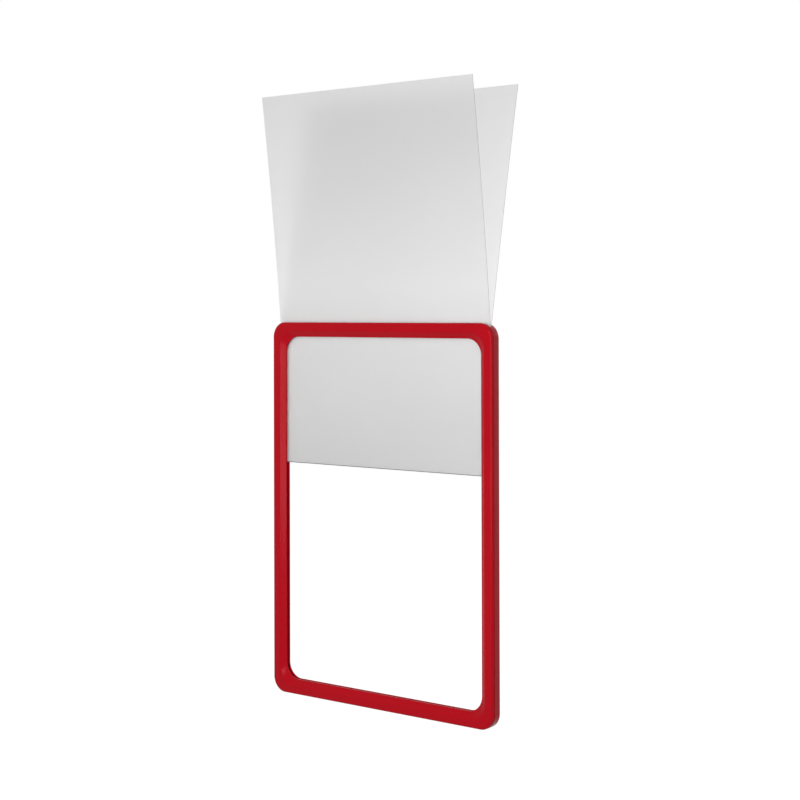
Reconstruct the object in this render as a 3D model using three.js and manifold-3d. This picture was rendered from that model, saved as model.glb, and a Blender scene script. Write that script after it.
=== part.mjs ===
// A clear film pocket, folded once into a U, standing half way down in the slot of
// an upright A4 poster frame.
// Millimetres, +Z up. The frame's front faces -Y, and the origin is the middle of
// the frame's underside, halfway through its depth.

import * as THREE from 'three';
import { mergeVertices } from 'three/addons/utils/BufferGeometryUtils.js';
import Module from 'manifold-3d';

const wasm = await Module();
wasm.setup();

// The poster that the pocket holds, A4 upright
const posterWidth = 210;
const posterHeight = 297;

// The frame's outline: how far it stands out round the poster, and how far its
// inner edge laps over the poster
const frameMargin = 6.5;
const windowLap = 5.5;
const outerCornerRadius = 12;
const windowCornerRadius = 13;

// The rail's section: a slot between two lips, with the outer face raised in front
// of the lips by the face rise
const slotGap = 2.6;
const lipThickness = 1.05;
const faceRise = 3.15;
const outerEdgeRadius = 1.5;
const landWidth = 6.3;
const rollWidth = 2.4;
const lipEdgeRadius = 0.3;

// The narrow groove that runs round the outside, just behind the front edge
const grooveSetback = 2;
const grooveWidth = 1.4;
const grooveDepth = 0.5;

// The mouth of the slot: both its edges are cut back for a lead-in
const mouthCutback = 1.1;
const mouthDepth = 3.5;

// The film sheet, and the room that it has at each side of the slot
const sheetMargin = 2;
const sheetThickness = 0.3;
const sheetClearance = 0.4;
const foldRadius = 0.5;
const gripRise = 0.3;
const backLeafExtra = 1.6;

// How the pocket stands: the height of its fold, where each leaf crosses the slot,
// how far each leaf leans out at its top edge, and how much more it curls out there
const foldHeight = 192.6;
const frontLeafExit = -0.2;
const backLeafExit = 0.85;
const frontLean = 17.6;
const frontCurl = 5.4;
const backLean = 36;
const backCurl = 2.2;

// Fineness of the round stretches
const cornerSteps = 12;
const edgeSteps = 5;
const foldSteps = 8;
const leafSteps = 14;

// Sizes worked out from those above
const frameWidth = posterWidth + 2 * frameMargin;
const frameHeight = posterHeight + 2 * frameMargin;
const railWidth = frameMargin + windowLap;
const sheetWidth = posterWidth + 2 * sheetMargin;
const slotWidth = sheetWidth + 2 * sheetClearance;
const slotFloor = frameMargin - sheetMargin;
const lipHalfDepth = slotGap / 2 + lipThickness;
const frameHalfDepth = lipHalfDepth + faceRise;
const frontLeafHeight = frameHeight - slotFloor + gripRise;
const backLeafHeight = frontLeafHeight + backLeafExtra;

const redPlastic = new THREE.MeshStandardMaterial({
  name: 'glossy_red_plastic',
  color: 0xb00d20,
  roughness: 0.3,
  metalness: 0,
});

const clearFilm = new THREE.MeshStandardMaterial({
  name: 'matte_clear_film',
  color: 0xd9dadb,
  roughness: 0.55,
  metalness: 0,
  transparent: true,
  opacity: 0.6,
  side: THREE.DoubleSide,
});

// A closed solid from a geometry, and a geometry from a closed solid

function toSolid(geometry) {
  const plain = geometry.clone();
  plain.deleteAttribute('normal');
  plain.deleteAttribute('uv');
  const merged = mergeVertices(plain, 1e-4);
  return new wasm.Manifold(new wasm.Mesh({
    numProp: 3,
    vertProperties: new Float32Array(merged.attributes.position.array),
    triVerts: new Uint32Array(merged.index.array),
  }));
}

function toGeometry(solid) {
  const mesh = solid.getMesh();
  const geometry = new THREE.BufferGeometry();
  geometry.setAttribute('position', new THREE.BufferAttribute(new Float32Array(mesh.vertProperties), 3));
  geometry.setIndex(new THREE.BufferAttribute(new Uint32Array(mesh.triVerts), 1));
  geometry.computeVertexNormals();
  return geometry;
}

// The rail's section as a closed outline: x is how far a point lies inside the
// frame's outer edge, y is its depth, with the front face at the negative side

// One half of the section's face, from its inner lip to its outer edge
function faceOutline(side) {
  const face = side * frameHalfDepth;
  const lip = side * lipHalfDepth;
  const bend = new THREE.Vector2(landWidth + rollWidth / 2, face);
  const lipEdge = new THREE.Vector2(railWidth - lipEdgeRadius, lip);
  const slope = lipEdge.clone().sub(bend).setLength(rollWidth / 2);
  const points = [
    new THREE.QuadraticBezierCurve(
      new THREE.Vector2(railWidth, lip - side * lipEdgeRadius),
      new THREE.Vector2(railWidth, lip),
      lipEdge,
    ).getPoints(edgeSteps),
    new THREE.QuadraticBezierCurve(
      bend.clone().add(slope),
      bend,
      new THREE.Vector2(landWidth, face),
    ).getPoints(edgeSteps),
    new THREE.EllipseCurve(
      outerEdgeRadius,
      face - side * outerEdgeRadius,
      outerEdgeRadius,
      outerEdgeRadius,
      side * Math.PI / 2,
      Math.PI,
      side < 0,
    ).getPoints(edgeSteps),
  ].flat();
  return side > 0 ? points : points.reverse();
}

// The outer groove, a shallow round-bottomed channel
function grooveOutline() {
  const start = -frameHalfDepth + grooveSetback;
  const groove = new THREE.EllipseCurve(
    0,
    start + grooveWidth / 2,
    grooveDepth,
    grooveWidth / 2,
    Math.PI / 2,
    -Math.PI / 2,
    true,
  );
  return groove.getPoints(edgeSteps);
}

function railSection() {
  const back = faceOutline(1);
  const front = faceOutline(-1);
  return [...back, ...grooveOutline(), ...front];
}

// One ring of the frame: a rounded rectangle that lies inside the outer edge by the
// given inset, with its corner radius between the outer and the window radius
function frameRing(inset, depth) {
  const across = frameWidth / 2 - inset;
  const up = frameHeight / 2 - inset;
  const share = inset / railWidth;
  const radius = outerCornerRadius + share * (windowCornerRadius - outerCornerRadius);
  const ring = [];
  for (let corner = 0; corner < 4; corner += 1) {
    const centreX = (across - radius) * (corner === 0 || corner === 3 ? 1 : -1);
    const centreZ = (up - radius) * (corner < 2 ? 1 : -1);
    for (let step = 0; step <= cornerSteps; step += 1) {
      const angle = (corner + step / cornerSteps) * Math.PI / 2;
      ring.push(new THREE.Vector3(
        centreX + radius * Math.cos(angle),
        depth,
        frameHeight / 2 + centreZ + radius * Math.sin(angle),
      ));
    }
  }
  return ring;
}

// The rail swept round all four sides: one ring for each point of its section,
// joined to the next by quads
function sweptRail() {
  const rings = railSection().map((point) => frameRing(point.x, point.y));
  const count = rings[0].length;
  const positions = rings.flat().flatMap((point) => point.toArray());
  const index = [];
  rings.forEach((ring, i) => {
    const here = i * count;
    const next = ((i + 1) % rings.length) * count;
    for (let j = 0; j < count; j += 1) {
      const k = (j + 1) % count;
      index.push(here + j, next + k, next + j);
      index.push(here + j, here + k, next + k);
    }
  });
  const geometry = new THREE.BufferGeometry();
  geometry.setAttribute('position', new THREE.Float32BufferAttribute(positions, 3));
  geometry.setIndex(index);
  return geometry;
}

// A flat outline in (depth, height) drawn out along X, centred on the origin
function drawnAlongX(points, length) {
  const geometry = new THREE.ExtrudeGeometry(new THREE.Shape(points), {
    depth: length,
    bevelEnabled: false,
    curveSegments: 1,
  });
  geometry.translate(0, 0, -length / 2);
  geometry.applyMatrix4(new THREE.Matrix4().makeBasis(
    new THREE.Vector3(0, 1, 0),
    new THREE.Vector3(0, 0, 1),
    new THREE.Vector3(1, 0, 0),
  ));
  return geometry;
}

// The room that the pocket slides down into: the slot through the top rail, which
// goes on as a groove in the side and bottom rails, with its flared mouth
function slotRoom() {
  const half = slotGap / 2;
  const beyond = frameHeight + outerCornerRadius;
  const flare = half + mouthCutback * (1 + outerCornerRadius / mouthDepth);
  return drawnAlongX([
    new THREE.Vector2(-half, slotFloor),
    new THREE.Vector2(half, slotFloor),
    new THREE.Vector2(half, frameHeight - mouthDepth),
    new THREE.Vector2(flare, beyond),
    new THREE.Vector2(-flare, beyond),
    new THREE.Vector2(-half, frameHeight - mouthDepth),
  ], slotWidth);
}

function posterFrame() {
  const solid = toSolid(sweptRail()).subtract(toSolid(slotRoom()));
  const mesh = new THREE.Mesh(toGeometry(solid), redPlastic);
  mesh.name = 'poster_frame';
  return mesh;
}

// One leaf of the film, from the fold up: straight to the slot's mouth, then
// leaning and curling outwards, with its whole length kept
function leafLine(exit, reach, curl, height) {
  const side = Math.sign(reach);
  const foot = new THREE.Vector2(side * foldRadius, foldHeight + foldRadius);
  const mouth = new THREE.Vector2(exit, frameHeight - mouthDepth);
  const spread = reach + side * curl;
  const free = height - foot.distanceTo(mouth);
  const rise = Math.sqrt(free ** 2 - spread ** 2);
  const flare = new THREE.QuadraticBezierCurve(
    mouth,
    new THREE.Vector2(exit + reach / 2, mouth.y + rise / 2),
    new THREE.Vector2(exit + spread, mouth.y + rise),
  );
  return [foot, ...flare.getPoints(leafSteps)];
}

// The film's middle line: down the front leaf, round the fold and up the back leaf
function sheetLine() {
  const front = leafLine(frontLeafExit, -frontLean, frontCurl, frontLeafHeight);
  const back = leafLine(backLeafExit, backLean, backCurl, backLeafHeight);
  const fold = new THREE.EllipseCurve(
    0,
    foldHeight + foldRadius,
    foldRadius,
    foldRadius,
    Math.PI,
    2 * Math.PI,
  ).getPoints(foldSteps).slice(1, -1);
  return [...front.reverse(), ...fold, ...back];
}

// Half the film's thickness to one side of its middle line
function besideLine(line, offset) {
  return line.map((point, i) => {
    const before = line[Math.max(i - 1, 0)];
    const after = line[Math.min(i + 1, line.length - 1)];
    const along = after.clone().sub(before).normalize();
    return new THREE.Vector2(point.x - along.y * offset, point.y + along.x * offset);
  });
}

function filmPocket() {
  const line = sheetLine();
  const inner = besideLine(line, sheetThickness / 2);
  const outer = besideLine(line, -sheetThickness / 2);
  const solid = toSolid(drawnAlongX([...outer, ...inner.reverse()], sheetWidth));
  const mesh = new THREE.Mesh(toGeometry(solid), clearFilm);
  mesh.name = 'u_pocket';
  return mesh;
}

const pocketInFrame = new THREE.Group();
pocketInFrame.name = 'pocket_in_frame';
pocketInFrame.add(posterFrame(), filmPocket());

export default pocketInFrame;
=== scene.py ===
"""A clear film pocket, folded into a U, standing half way down in a red poster frame.

The frame is one glossy plastic moulding with a dished rail, an open window and a slot
along its top. The pocket is one sheet of matte clear film, folded at the bottom, whose
two leaves lean apart above the slot. Metres, +Z up, with the front facing -Y.
"""

import logging
import math
from dataclasses import dataclass, field
from enum import Enum
from typing import Any, Sequence

import bmesh
import bpy
from mathutils import Matrix, Vector
from mathutils.geometry import interpolate_bezier


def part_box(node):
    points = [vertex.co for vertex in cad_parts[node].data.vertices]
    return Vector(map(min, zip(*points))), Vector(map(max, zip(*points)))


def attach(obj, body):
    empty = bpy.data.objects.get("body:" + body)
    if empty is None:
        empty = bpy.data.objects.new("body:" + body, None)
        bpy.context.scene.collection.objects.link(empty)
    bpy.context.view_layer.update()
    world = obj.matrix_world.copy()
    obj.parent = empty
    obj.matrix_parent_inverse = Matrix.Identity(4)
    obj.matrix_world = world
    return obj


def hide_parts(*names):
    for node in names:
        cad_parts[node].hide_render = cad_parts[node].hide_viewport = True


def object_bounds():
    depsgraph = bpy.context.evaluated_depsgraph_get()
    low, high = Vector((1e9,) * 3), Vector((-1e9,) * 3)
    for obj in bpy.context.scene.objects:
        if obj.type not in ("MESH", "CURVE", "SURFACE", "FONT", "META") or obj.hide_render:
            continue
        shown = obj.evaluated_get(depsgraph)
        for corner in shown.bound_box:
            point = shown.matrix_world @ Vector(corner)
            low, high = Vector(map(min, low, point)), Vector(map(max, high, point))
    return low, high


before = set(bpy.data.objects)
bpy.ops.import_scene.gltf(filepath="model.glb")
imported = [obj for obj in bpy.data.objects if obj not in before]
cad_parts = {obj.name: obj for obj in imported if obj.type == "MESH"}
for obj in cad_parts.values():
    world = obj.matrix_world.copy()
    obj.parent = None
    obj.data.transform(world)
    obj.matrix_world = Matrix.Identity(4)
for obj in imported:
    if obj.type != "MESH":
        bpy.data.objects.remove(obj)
CAD_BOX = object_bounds()

MM = 0.001
LOG = logging.getLogger("pocket_in_frame")

# How far along its two straights a Bezier corner pulls, to follow a circle
CIRCLE_PULL = 0.5523
# The same for a parabola
PARABOLA_PULL = 2 / 3
# Edges that turn by more than this stay sharp, in degrees
SHARP_ANGLE = 35.0


def linear(hex_colour: str, alpha: float = 1.0) -> tuple[float, float, float, float]:
    """Turn an sRGB hex colour into linear light.

    Args:
        hex_colour: Six hex digits, such as "b01020".
        alpha: The fourth number of the result.

    Returns:
        Red, green, blue and alpha, with the first three linear.
    """
    channels = [int(hex_colour[i : i + 2], 16) / 255 for i in (0, 2, 4)]
    red, green, blue = (
        c / 12.92 if c <= 0.04045 else ((c + 0.055) / 1.055) ** 2.4 for c in channels
    )
    return red, green, blue, alpha


def add_node(
    tree: bpy.types.NodeTree,
    kind: str,
    settings: dict[str, Any] | None = None,
    values: dict[Any, Any] | None = None,
    links: dict[Any, bpy.types.NodeSocket] | None = None,
) -> bpy.types.Node:
    """Add one shader node with its settings, socket values and incoming links.

    Args:
        tree: The node tree that it goes into.
        kind: Blender's name of the node type.
        settings: Attributes of the node itself.
        values: Default values by input name or index.
        links: Output sockets by the input name or index that they feed.

    Returns:
        The new node.
    """
    node = tree.nodes.new(kind)
    for name, value in (settings or {}).items():
        setattr(node, name, value)
    for name, value in (values or {}).items():
        node.inputs[name].default_value = value
    for name, socket in (links or {}).items():
        tree.links.new(socket, node.inputs[name])
    return node


def arithmetic(
    tree: bpy.types.NodeTree,
    operation: str,
    first: bpy.types.NodeSocket,
    second: bpy.types.NodeSocket | float = 0.0,
) -> bpy.types.NodeSocket:
    """Work out one number from one or two others in a node tree.

    Args:
        tree: The node tree that it goes into.
        operation: The Math node's name of the operation.
        first: The first number.
        second: The second number, as a socket or a fixed value.

    Returns:
        The result's socket.
    """
    node = add_node(
        tree,
        "ShaderNodeMath",
        settings={"operation": operation},
        links={0: first},
    )
    if isinstance(second, bpy.types.NodeSocket):
        tree.links.new(second, node.inputs[1])
    else:
        node.inputs[1].default_value = second
    return node.outputs[0]


def empty_material(name: str) -> tuple[bpy.types.Material, bpy.types.NodeTree]:
    """Make a material whose node tree is empty.

    Args:
        name: The material's name.

    Returns:
        The material and its node tree.
    """
    material = bpy.data.materials.new(name)
    material.use_nodes = True
    material.node_tree.nodes.clear()
    return material, material.node_tree


def mesh_object(bm: bmesh.types.BMesh, name: str) -> bpy.types.Object:
    """Turn a bmesh into an object at the origin, and free the bmesh.

    Args:
        bm: The finished shape, in metres, in its place.
        name: The name of the object and of its mesh.

    Returns:
        The object, linked to the scene.
    """
    mesh = bpy.data.meshes.new(name)
    bm.to_mesh(mesh)
    bm.free()
    made = bpy.data.objects.new(name, mesh)
    bpy.context.scene.collection.objects.link(made)
    return made


def apply_modifiers(piece: bpy.types.Object) -> None:
    """Replace a piece's mesh with what its modifiers make of it."""
    graph = bpy.context.evaluated_depsgraph_get()
    finished = bpy.data.meshes.new_from_object(piece.evaluated_get(graph))
    finished.name = piece.name
    piece.modifiers.clear()
    piece.data = finished


def smooth_by_angle(piece: bpy.types.Object) -> None:
    """Shade a piece smooth, apart from its sharp edges."""
    piece.data.shade_smooth()
    piece.data.set_sharp_from_angle(angle=math.radians(SHARP_ANGLE))


@dataclass(frozen=True)
class MouldedPolystyrene:
    """High-gloss moulded polystyrene, coloured through.

    Polished steel moulds leave it glossy, with a slight unevenness that breaks up
    reflections. The deep colour comes from inside, so the surface reflection over it
    is weak when seen head on and strong at a glance.
    """

    colour: str = "be0a1b"
    deep_colour: str = "b30818"
    sheen_tint: str = "ffb4bc"
    ior: float = 1.45
    specular_level: float = 0.15
    roughness: float = 0.18
    roughness_fall: float = 0.04
    roughness_rise: float = 0.05
    cloud_mm: float = 60.0
    ripple_mm: float = 4.0
    ripple_depth_mm: float = 0.05
    ripple_strength: float = 0.12
    grain_mm: float = 0.8
    grain_depth_mm: float = 0.02
    grain_strength: float = 0.06

    def make(self) -> bpy.types.Material:
        """Build the material.

        Returns:
            The material, read on the piece's own Object coordinates.
        """
        material, tree = empty_material("moulded_polystyrene_red")
        place = add_node(tree, "ShaderNodeTexCoord").outputs["Object"]
        # Flow of the melt in the mould: broad, barely visible clouds of colour
        clouds = add_node(
            tree,
            "ShaderNodeTexNoise",
            values={"Scale": 1 / (self.cloud_mm * MM), "Detail": 2.0},
            links={"Vector": place},
        )
        colour = add_node(
            tree,
            "ShaderNodeMix",
            settings={"data_type": "RGBA"},
            values={6: linear(self.colour), 7: linear(self.deep_colour)},
            links={0: clouds.outputs["Fac"]},
        )
        # Unevenness of the polished mould, and a finer grain drawn coarse enough to show
        ripple = add_node(
            tree,
            "ShaderNodeTexNoise",
            values={"Scale": 1 / (self.ripple_mm * MM), "Detail": 1.0},
            links={"Vector": place},
        )
        grain = add_node(
            tree,
            "ShaderNodeTexNoise",
            values={"Scale": 1 / (self.grain_mm * MM), "Detail": 2.0},
            links={"Vector": place},
        )
        roughness = add_node(
            tree,
            "ShaderNodeMapRange",
            values={
                "To Min": self.roughness - self.roughness_fall,
                "To Max": self.roughness + self.roughness_rise,
            },
            links={"Value": grain.outputs["Fac"]},
        )
        ripple_bump = add_node(
            tree,
            "ShaderNodeBump",
            values={
                "Strength": self.ripple_strength,
                "Distance": self.ripple_depth_mm * MM,
            },
            links={"Height": ripple.outputs["Fac"]},
        )
        grain_bump = add_node(
            tree,
            "ShaderNodeBump",
            values={
                "Strength": self.grain_strength,
                "Distance": self.grain_depth_mm * MM,
            },
            links={
                "Height": grain.outputs["Fac"],
                "Normal": ripple_bump.outputs["Normal"],
            },
        )
        shader = add_node(
            tree,
            "ShaderNodeBsdfPrincipled",
            values={
                "IOR": self.ior,
                "Specular IOR Level": self.specular_level,
                "Specular Tint": linear(self.sheen_tint),
            },
            links={
                "Base Color": colour.outputs[2],
                "Roughness": roughness.outputs["Result"],
                "Normal": grain_bump.outputs["Normal"],
            },
        )
        add_node(
            tree,
            "ShaderNodeOutputMaterial",
            links={"Surface": shader.outputs["BSDF"]},
        )
        return material


@dataclass(frozen=True)
class MatteFilm:
    """Clear rigid PVC film with a fine glare-free embossing on both sides.

    The embossing scatters what passes through, so things close behind stay clear and
    things further off blur, and it gives the film a pale grey veil of its own.
    """

    name: str = "matte_pvc_film"
    colour: str = "f2f2f2"
    shaded_colour: str = "e4e4e4"
    ior: float = 1.53
    roughness: float = 0.38
    see_through: float = 0.83
    veil: float = 0.1
    light_passed: float = 0.85
    # Painted shade: the sheet is lightest round one height and darker above and below it
    brightest_height_mm: float = 340.0
    shade_reach_mm: float = 150.0
    drift: float = 0.25
    drift_mm: float = 90.0
    emboss_mm: float = 0.35
    emboss_depth_mm: float = 0.01
    emboss_strength: float = 0.08

    def tone(
        self, tree: bpy.types.NodeTree, place: bpy.types.NodeSocket
    ) -> bpy.types.NodeSocket:
        """Paint shade on the sheet, darker towards its top edges and its fold, over a slow
        random drift.

        Args:
            tree: The node tree that it goes into.
            place: The Object coordinates.

        Returns:
            The colour's socket.
        """
        # Painted shade, growing with the distance from the lightest height
        height = add_node(tree, "ShaderNodeSeparateXYZ", links={0: place})
        brightest = self.brightest_height_mm * MM
        away = arithmetic(tree, "SUBTRACT", height.outputs["Z"], brightest)
        shaded = add_node(
            tree,
            "ShaderNodeMapRange",
            values={
                "From Max": self.shade_reach_mm * MM,
                "To Min": -self.drift / 2,
                "To Max": 1.0 - self.drift / 2,
            },
            links={"Value": arithmetic(tree, "ABSOLUTE", away)},
        )
        clouds = add_node(
            tree,
            "ShaderNodeTexNoise",
            values={"Scale": 1 / (self.drift_mm * MM), "Detail": 1.0},
            links={"Vector": place},
        )
        share = add_node(
            tree,
            "ShaderNodeMath",
            settings={"operation": "MULTIPLY_ADD", "use_clamp": True},
            values={1: self.drift},
            links={0: clouds.outputs["Fac"], 2: shaded.outputs["Result"]},
        )
        colour = add_node(
            tree,
            "ShaderNodeMix",
            settings={"data_type": "RGBA"},
            values={6: linear(self.colour), 7: linear(self.shaded_colour)},
            links={0: share.outputs[0]},
        )
        return colour.outputs[2]

    def embossing(
        self, tree: bpy.types.NodeTree, place: bpy.types.NodeSocket
    ) -> bpy.types.NodeSocket:
        """Emboss the surface, coarser than on the real film so that it shows.

        Args:
            tree: The node tree that it goes into.
            place: The Object coordinates.

        Returns:
            The normal's socket.
        """
        emboss = add_node(
            tree,
            "ShaderNodeTexNoise",
            values={"Scale": 1 / (self.emboss_mm * MM), "Detail": 1.0},
            links={"Vector": place},
        )
        bump = add_node(
            tree,
            "ShaderNodeBump",
            values={
                "Strength": self.emboss_strength,
                "Distance": self.emboss_depth_mm * MM,
            },
            links={"Height": emboss.outputs["Fac"]},
        )
        return bump.outputs["Normal"]

    def passing_light(
        self, tree: bpy.types.NodeTree, sheet: bpy.types.NodeSocket
    ) -> bpy.types.NodeSocket:
        """Let most of the light go on through, as the thin film casts next to no shadow.

        Args:
            tree: The node tree that it goes into.
            sheet: The film's own shader.

        Returns:
            The shader's socket, clear in part for the rays that light things.
        """
        path = add_node(tree, "ShaderNodeLightPath").outputs
        lighting = arithmetic(tree, "MAXIMUM", path["Is Shadow Ray"], path["Is Diffuse Ray"])
        passed = arithmetic(tree, "MULTIPLY", lighting, self.light_passed)
        clear = add_node(tree, "ShaderNodeBsdfTransparent")
        film = add_node(
            tree,
            "ShaderNodeMixShader",
            links={0: passed, 1: sheet, 2: clear.outputs[0]},
        )
        return film.outputs[0]

    def make(self) -> bpy.types.Material:
        """Build the material.

        Returns:
            The material, read on the piece's own Object coordinates.
        """
        material, tree = empty_material(self.name)
        place = add_node(tree, "ShaderNodeTexCoord").outputs["Object"]
        colour = self.tone(tree, place)
        surface = add_node(
            tree,
            "ShaderNodeBsdfPrincipled",
            values={
                "IOR": self.ior,
                "Roughness": self.roughness,
                "Transmission Weight": self.see_through,
            },
            links={"Base Color": colour, "Normal": self.embossing(tree, place)},
        )
        veil = add_node(tree, "ShaderNodeBsdfTranslucent", links={"Color": colour})
        sheet = add_node(
            tree,
            "ShaderNodeMixShader",
            values={0: self.veil},
            links={1: surface.outputs[0], 2: veil.outputs[0]},
        )
        film = self.passing_light(tree, sheet.outputs[0])
        add_node(tree, "ShaderNodeOutputMaterial", links={"Surface": film})
        return material


class FilmPart(Enum):
    """The parts of the film that differ in finish and in painted shade, by material slot."""

    SHEET = 0
    CUT_EDGE = 1
    FOLD = 2


class Face(Enum):
    """The two faces of the frame, by the side of its middle plane."""

    FRONT = -1.0
    BACK = 1.0


@dataclass
class PosterFrame:
    """The moulded frame: a dished rail round an open window, with a slot at the top.

    Lengths are in millimetres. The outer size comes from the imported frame.
    """

    rail_width: float = 12.0
    outer_corner_radius: float = 12.0
    window_corner_radius: float = 13.0
    slot_gap: float = 2.6
    slot_width: float = 214.8
    slot_floor: float = 4.5
    lip_thickness: float = 1.05
    outer_edge_radius: float = 1.5
    land_width: float = 6.3
    roll_width: float = 2.4
    lip_edge_radius: float = 0.3
    groove_setback: float = 2.0
    groove_width: float = 1.4
    groove_depth: float = 0.5
    mouth_cutback: float = 1.1
    mouth_depth: float = 3.5
    merge_gap: float = 0.005
    corner_steps: int = 24
    edge_steps: int = 8

    def __post_init__(self) -> None:
        """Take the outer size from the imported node."""
        low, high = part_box("poster_frame")
        size = (high - low) / MM
        self.width, self.depth, self.height = size
        self.middle = (low.z + high.z) / 2 / MM

    def bend(
        self,
        start: Sequence[float],
        knee: Sequence[float],
        end: Sequence[float],
    ) -> list[Vector]:
        """Round a corner of the section with one smooth curve.

        Args:
            start: Where the curve leaves the first straight.
            knee: Where the two straights would meet.
            end: Where the curve reaches the second straight.

        Returns:
            Points from start to end, in (inset, depth).
        """
        first, middle, last = (Vector((*p, 0.0)) for p in (start, knee, end))
        return [
            point.to_2d()
            for point in interpolate_bezier(
                first,
                first.lerp(middle, CIRCLE_PULL),
                last.lerp(middle, CIRCLE_PULL),
                last,
                self.edge_steps + 1,
            )
        ]

    def half_section(self, face: Face) -> list[Vector]:
        """Draw one face of the rail's section, from its lip to its outer edge.

        Args:
            face: Which side of the middle plane it is on.

        Returns:
            Points as (inset from the outer edge, depth), in millimetres.
        """
        side = face.value
        front = side * self.depth / 2
        lip = side * (self.slot_gap / 2 + self.lip_thickness)
        lip_edge = Vector((self.rail_width - self.lip_edge_radius, lip))
        knee = Vector((self.land_width + self.roll_width / 2, front))
        slope = (lip_edge - knee).normalized() * self.roll_width / 2
        points = self.bend(
            (self.rail_width, lip - side * self.lip_edge_radius),
            (self.rail_width, lip),
            lip_edge,
        )
        points += self.bend(knee + slope, knee, (self.land_width, front))
        points += self.bend(
            (self.outer_edge_radius, front),
            (0.0, front),
            (0.0, front - side * self.outer_edge_radius),
        )
        return points

    def groove(self) -> list[Vector]:
        """Draw the narrow groove behind the front edge, from its back to its front.

        Returns:
            Points as (inset from the outer edge, depth), in millimetres.
        """
        near = self.groove_setback - self.depth / 2
        far = near + self.groove_width
        middle = (near + far) / 2
        deep = self.groove_depth
        first = self.bend((0.0, far), (deep, far), (deep, middle))
        second = self.bend((deep, middle), (deep, near), (0.0, near))
        return first + second[1:]

    def corner(self, point: Vector, side: Vector) -> tuple[Vector, float]:
        """Find the arc that a corner of the frame follows at one point of the section.

        Args:
            point: The section's point, as (inset, depth), in millimetres.
            side: Which corner it is: 1 or -1 along X and along Z.

        Returns:
            The arc's centre and its radius, in metres.
        """
        share = point.x / self.rail_width
        swell = share * (self.window_corner_radius - self.outer_corner_radius)
        radius = self.outer_corner_radius + swell
        across = self.width / 2 - point.x - radius
        up = self.height / 2 - point.x - radius
        centre = Vector((side.x * across, point.y, self.middle + side.z * up))
        return centre * MM, radius * MM

    def first_ring(self, bm: bmesh.types.BMesh, point: Vector) -> list[Any]:
        """Lay one rounded rectangle of edges round the window.

        Each corner is one vertex spun through a quarter turn, and straight edges join
        the four arcs.

        Args:
            bm: The mesh that it goes into.
            point: The section's point that it starts from.

        Returns:
            The ring's edges.
        """
        ends: list[tuple[Any, Any]] = []
        for turn, (x, z) in enumerate(((1, 1), (-1, 1), (-1, -1), (1, -1))):
            centre, radius = self.corner(point, Vector((x, 0, z)))
            angle = turn * math.pi / 2
            arm = Vector((math.cos(angle), 0.0, math.sin(angle))) * radius
            first = bm.verts.new(centre + arm)
            spun = bmesh.ops.spin(
                bm,
                geom=[first],
                cent=centre,
                axis=(0.0, -1.0, 0.0),
                angle=math.pi / 2,
                steps=self.corner_steps,
                use_merge=False,
            )
            last = next(v for v in spun["geom_last"] if isinstance(v, bmesh.types.BMVert))
            ends.append((first, last))
        for here, there in zip(ends, ends[1:] + ends[:1]):
            bm.edges.new((here[1], there[0]))
        return bm.edges[:]

    def swept_rail(self) -> bmesh.types.BMesh:
        """Sweep the section round all four sides, from one of its points to the next.

        Returns:
            A closed ring-shaped mesh, without the slot.
        """
        section = self.half_section(Face.BACK) + self.groove()
        section += list(reversed(self.half_section(Face.FRONT)))
        bm = bmesh.new()
        edges = self.first_ring(bm, section[0])
        for here, there in zip(section, section[1:] + section[:1]):
            pulled = bmesh.ops.extrude_edge_only(bm, edges=edges)["geom"]
            edges = [e for e in pulled if isinstance(e, bmesh.types.BMEdge)]
            for vert in (v for v in pulled if isinstance(v, bmesh.types.BMVert)):
                x = math.copysign(1.0, vert.co.x)
                z = math.copysign(1.0, vert.co.z - self.middle * MM)
                old_centre, old_radius = self.corner(here, Vector((x, 0.0, z)))
                centre, radius = self.corner(there, Vector((x, 0.0, z)))
                vert.co = centre + (vert.co - old_centre) * (radius / old_radius)
        bmesh.ops.remove_doubles(bm, verts=bm.verts[:], dist=self.merge_gap * MM)
        bmesh.ops.recalc_face_normals(bm, faces=bm.faces[:])
        return bm

    def slot_cutter(self) -> bpy.types.Object:
        """Make the room that the pocket slides down into, with its flared mouth.

        Returns:
            A closed solid, wider at the top than the slot itself.
        """
        top = self.middle + self.height / 2
        throat = top - self.mouth_depth
        half = self.slot_gap / 2
        over = self.outer_corner_radius
        flare = 1 + self.mouth_cutback * (1 + over / self.mouth_depth) / half
        bm = bmesh.new()
        bmesh.ops.create_cube(bm, size=MM)
        bmesh.ops.scale(
            bm,
            vec=(self.slot_width, self.slot_gap, throat - self.slot_floor),
            verts=bm.verts,
        )
        bmesh.ops.translate(
            bm,
            vec=(0.0, 0.0, (throat + self.slot_floor) / 2 * MM),
            verts=bm.verts,
        )
        lid = max(bm.faces, key=lambda face: face.calc_center_median().z)
        mouth = bmesh.ops.extrude_discrete_faces(bm, faces=[lid])["faces"][0]
        corners = list(mouth.verts)
        bmesh.ops.translate(bm, vec=(0.0, 0.0, (self.mouth_depth + over) * MM), verts=corners)
        bmesh.ops.scale(bm, vec=(1.0, flare, 1.0), verts=corners)
        bmesh.ops.recalc_face_normals(bm, faces=bm.faces[:])
        return mesh_object(bm, "slot_cutter")

    def build(self) -> bpy.types.Object:
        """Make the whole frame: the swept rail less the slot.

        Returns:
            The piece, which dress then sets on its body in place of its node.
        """
        piece = mesh_object(self.swept_rail(), "poster_frame_moulding")
        cutter = self.slot_cutter()
        cut = piece.modifiers.new("slot", "BOOLEAN")
        cut.operation = "DIFFERENCE"
        cut.solver = "EXACT"
        cut.object = cutter
        apply_modifiers(piece)
        bpy.data.objects.remove(cutter)
        smooth_by_angle(piece)
        return piece

    def dress(self, piece: bpy.types.Object) -> None:
        """Give the frame its plastic, its body and the node that it stands for."""
        piece.data.materials.clear()
        piece.data.materials.append(MouldedPolystyrene().make())
        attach(piece, "root")
        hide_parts("poster_frame")


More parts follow.
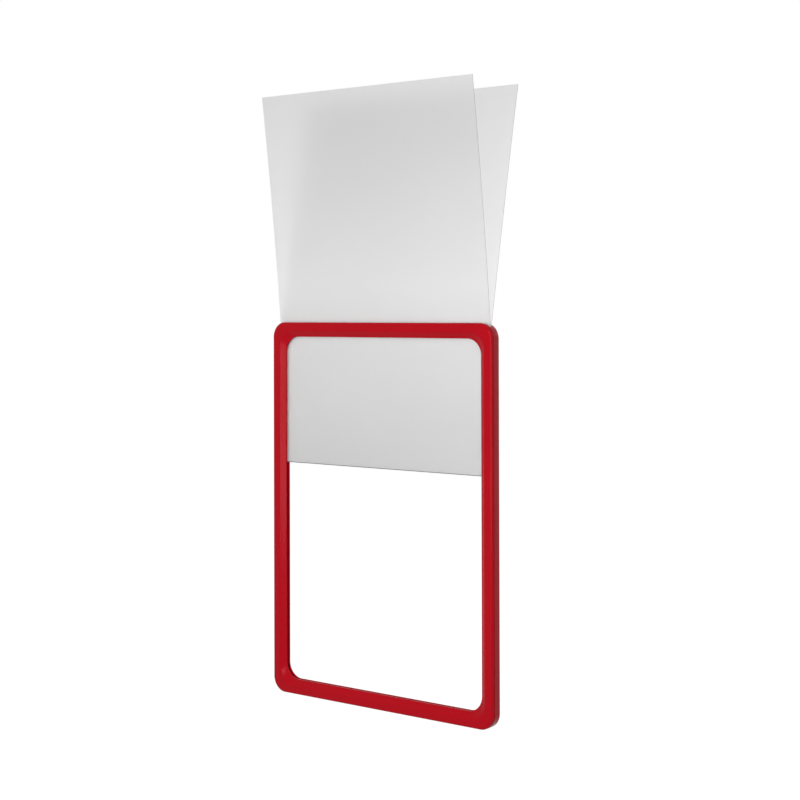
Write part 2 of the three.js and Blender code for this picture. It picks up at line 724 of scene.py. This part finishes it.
@dataclass
class Leaf:
    """One leaf of the pocket, above the slot. Lengths are in millimetres.

    The lean is how far its top edge stands out in a straight line from the slot, and
    the curl is how much further it bends out there. Minus is to the front.
    """

    exit: float
    lean: float
    curl: float
    height: float

    @property
    def side(self) -> float:
        """The side of the middle plane that it leans to."""
        return math.copysign(1.0, self.lean)


@dataclass
class FilmPocket:
    """The pocket: one sheet of film, folded once into a U. Lengths are in millimetres."""

    thickness: float = 0.3
    fold_radius: float = 0.5
    throat: float = 306.5
    front: Leaf = field(
        default_factory=lambda: Leaf(exit=-0.2, lean=-17.6, curl=-5.4, height=305.8)
    )
    back: Leaf = field(
        default_factory=lambda: Leaf(exit=0.85, lean=36.0, curl=2.2, height=307.4)
    )
    merge_gap: float = 0.01
    fold_steps: int = 12
    straight_steps: int = 10
    leaf_steps: int = 28
    across_steps: int = 12

    def __post_init__(self) -> None:
        """Take the width and the fold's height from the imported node."""
        low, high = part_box("u_pocket")
        self.width = (high.x - low.x) / MM
        self.fold_height = low.z / MM + self.thickness / 2

    def leaf_line(self, leaf: Leaf) -> list[Vector]:
        """Follow a leaf up from the fold to its top edge, keeping its whole length.

        Args:
            leaf: The leaf to follow.

        Returns:
            Points on its middle line, from the fold up, in metres.
        """
        foot = Vector((0.0, leaf.side * self.fold_radius, self.fold_height + self.fold_radius))
        throat = Vector((0.0, leaf.exit, self.throat))
        spread = leaf.lean + leaf.curl
        free = leaf.height - (throat - foot).length
        rise = math.sqrt(free**2 - spread**2)
        knee = throat + Vector((0.0, leaf.lean / 2, rise / 2))
        top = throat + Vector((0.0, spread, rise))
        curve = interpolate_bezier(
            throat,
            throat.lerp(knee, PARABOLA_PULL),
            top.lerp(knee, PARABOLA_PULL),
            top,
            self.leaf_steps + 1,
        )
        steps = self.straight_steps
        straight = [foot.lerp(throat, i / steps) for i in range(steps)]
        return [point * MM for point in straight + list(curve)]

    def middle_surface(self) -> bmesh.types.BMesh:
        """Draw the sheet's line, fold and all, and pull it out to its width.

        Returns:
            The sheet's middle surface, as an open mesh.
        """
        bm = bmesh.new()
        back = [bm.verts.new(point) for point in self.leaf_line(self.back)]
        front = [bm.verts.new(point) for point in self.leaf_line(self.front)]
        for line in (back, front):
            for here, there in zip(line, line[1:]):
                bm.edges.new((here, there))
        bmesh.ops.spin(
            bm,
            geom=[back[0]],
            cent=Vector((0.0, 0.0, self.fold_height + self.fold_radius)) * MM,
            axis=(-1.0, 0.0, 0.0),
            angle=math.pi,
            steps=self.fold_steps,
            use_merge=False,
        )
        bmesh.ops.remove_doubles(bm, verts=bm.verts[:], dist=self.merge_gap * MM)
        start = -self.width / 2 * MM
        bmesh.ops.translate(bm, vec=(start, 0.0, 0.0), verts=bm.verts[:])
        edges = bm.edges[:]
        step = self.width / self.across_steps * MM
        for _ in range(self.across_steps):
            pulled = bmesh.ops.extrude_edge_only(bm, edges=edges)["geom"]
            moved = [v for v in pulled if isinstance(v, bmesh.types.BMVert)]
            edges = [e for e in pulled if isinstance(e, bmesh.types.BMEdge)]
            bmesh.ops.translate(bm, vec=(step, 0.0, 0.0), verts=moved)
        bmesh.ops.recalc_face_normals(bm, faces=bm.faces[:])
        return bm

    def build(self) -> bpy.types.Object:
        """Give the sheet its thickness, and its cut edges and its fold their finish and a
        darker painted shade.

        Returns:
            The film as one closed sheet of its real thickness.
        """
        piece = mesh_object(self.middle_surface(), "u_pocket_film")
        wall = piece.modifiers.new("film_thickness", "SOLIDIFY")
        wall.thickness = self.thickness * MM
        wall.offset = 0.0
        wall.use_even_offset = True
        wall.material_offset_rim = FilmPart.CUT_EDGE.value
        # The cut edges and the fold are painted a darker grey than the sheet: painted shade,
        # standing in for the light that bends in the film there
        finishes_with_painted_shade = {
            FilmPart.SHEET: MatteFilm(),
            FilmPart.CUT_EDGE: MatteFilm(
                name="cut_edge_of_film_painted_shade",
                colour="5c5e60",
                shaded_colour="525456",
                see_through=0.2,
            ),
            FilmPart.FOLD: MatteFilm(
                name="fold_of_film_painted_shade",
                colour="98999b",
                shaded_colour="8e8f91",
                see_through=0.6,
            ),
        }
        for part in FilmPart:
            piece.data.materials.append(finishes_with_painted_shade[part].make())
        top_of_fold = (self.fold_height + self.fold_radius) * MM
        for face in piece.data.polygons:
            if face.center.z < top_of_fold:
                face.material_index = FilmPart.FOLD.value
        apply_modifiers(piece)
        smooth_by_angle(piece)
        return piece

    def dress(self, piece: bpy.types.Object) -> None:
        """Give the film its body and the node that it stands for."""
        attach(piece, "root")
        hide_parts("u_pocket")


@dataclass
class Lamp:
    """One rectangular softbox, turned to the middle of the object. Metres."""

    name: str
    place: tuple[float, float, float]
    size: tuple[float, float]
    watts: float
    aim: tuple[float, float, float] = (0.0, 0.0, 0.27)

    def make(self) -> None:
        """Hang the softbox and turn it to its aim."""
        light = bpy.data.lights.new(self.name, "AREA")
        light.shape = "RECTANGLE"
        light.size, light.size_y = self.size
        light.energy = self.watts
        lamp = bpy.data.objects.new(self.name, light)
        lamp.location = self.place
        way = Vector(self.aim) - Vector(self.place)
        lamp.rotation_euler = way.to_track_quat("-Z", "Y").to_euler()
        # The film shows the white backdrop, and not the lamps beyond it
        lamp.visible_camera = False
        lamp.visible_transmission = False
        bpy.context.scene.collection.objects.link(lamp)


@dataclass
class Studio:
    """A white floor and background with soft light, and the camera of the photograph."""

    camera_place: tuple[float, float, float] = (0.79375, -1.00397, 0.32043)
    yaw: float = 37.63
    pitch_up: float = 0.39
    roll: float = -0.141
    focal_px: float = 1591.8
    picture_px: float = 800.0
    sensor_mm: float = 36.0
    centre_row_px: float = 298.7
    floor_size: float = 30.0
    floor_paint: str = "909090"
    floor_glow: float = 0.92
    fill: float = 0.3

    def seen_directly(self, tree: bpy.types.NodeTree) -> bpy.types.NodeSocket:
        """Tell the rays that show the background from those that light the object.

        Args:
            tree: The node tree that asks.

        Returns:
            A socket that is 1 for camera, glossy and transmission rays.
        """
        path = add_node(tree, "ShaderNodeLightPath").outputs
        seen = arithmetic(tree, "MAXIMUM", path["Is Camera Ray"], path["Is Glossy Ray"])
        return arithmetic(tree, "MAXIMUM", seen, path["Is Transmission Ray"])

    def world(self) -> None:
        """Light the object softly from all round, and show white behind it."""
        world = bpy.data.worlds.new("white_studio")
        bpy.context.scene.world = world
        world.use_nodes = True
        tree = world.node_tree
        tree.nodes.clear()
        strength = add_node(
            tree,
            "ShaderNodeMapRange",
            values={"To Min": self.fill, "To Max": 1.0},
            links={"Value": self.seen_directly(tree)},
        )
        light = add_node(
            tree,
            "ShaderNodeBackground",
            values={"Color": linear("ffffff")},
            links={"Strength": strength.outputs["Result"]},
        )
        add_node(
            tree,
            "ShaderNodeOutputWorld",
            links={"Surface": light.outputs["Background"]},
        )

    def floor(self) -> None:
        """Lay the floor that the frame stands on.

        It looks white, and is grey in the light that it throws back up.
        """
        bm = bmesh.new()
        bmesh.ops.create_grid(bm, x_segments=1, y_segments=1, size=self.floor_size / 2)
        bmesh.ops.translate(bm, vec=(0.0, 0.0, CAD_BOX[0].z), verts=bm.verts)
        floor = mesh_object(bm, "studio_floor")
        material, tree = empty_material("white_painted_floor")
        paint = add_node(
            tree,
            "ShaderNodeBsdfDiffuse",
            values={"Color": linear(self.floor_paint)},
        )
        glow = add_node(tree, "ShaderNodeEmission", values={"Color": linear("ffffff")})
        lift = arithmetic(tree, "MULTIPLY", self.seen_directly(tree), self.floor_glow)
        tree.links.new(lift, glow.inputs["Strength"])
        both = add_node(
            tree,
            "ShaderNodeAddShader",
            links={0: paint.outputs[0], 1: glow.outputs[0]},
        )
        add_node(tree, "ShaderNodeOutputMaterial", links={"Surface": both.outputs[0]})
        floor.data.materials.append(material)

    def camera(self) -> None:
        """Set the camera where the photograph was taken from."""
        lens = bpy.data.cameras.new("camera")
        lens.sensor_width = self.sensor_mm
        lens.lens = self.focal_px / self.picture_px * self.sensor_mm
        lens.shift_y = (self.centre_row_px - self.picture_px / 2) / self.picture_px
        camera = bpy.data.objects.new("camera", lens)
        bpy.context.scene.collection.objects.link(camera)
        camera.matrix_world = (
            Matrix.Translation(self.camera_place)
            @ Matrix.Rotation(math.radians(self.yaw), 4, "Z")
            @ Matrix.Rotation(math.radians(90.0 + self.pitch_up), 4, "X")
            @ Matrix.Rotation(math.radians(self.roll), 4, "Z")
        )
        bpy.context.scene.camera = camera

    def lamps(self) -> None:
        """Hang the softboxes: front, low strip, slim strip by the camera, side and rear."""
        Lamp("front_softbox", (0.35, -1.4, 0.55), (0.8, 0.8), 10.8).make()
        Lamp("low_strip", (0.2, -1.0, 0.05), (0.8, 0.2), 2.6).make()
        Lamp("slim_strip", (1.1, -0.95, 0.26), (0.12, 0.5), 1.3).make()
        Lamp("side_softbox", (1.3, -0.4, 0.4), (0.8, 1.0), 1.3).make()
        Lamp("rear_softbox", (0.2, 0.9, 0.3), (0.6, 0.6), 2.4).make()

    def build(self) -> None:
        """Set up everything that isn't the object."""
        bpy.context.scene.view_settings.view_transform = "Standard"
        self.camera()
        self.world()
        self.floor()
        self.lamps()


def main() -> None:
    """Build the studio, the frame and the pocket, in that order."""
    logging.basicConfig(level=logging.INFO, format="%(name)s: %(message)s")
    Studio().build()
    for part in (PosterFrame(), FilmPocket()):
        piece = part.build()
        part.dress(piece)
        LOG.info("%s: %d faces", piece.name, len(piece.data.polygons))


if __name__ == "__main__":
    main()
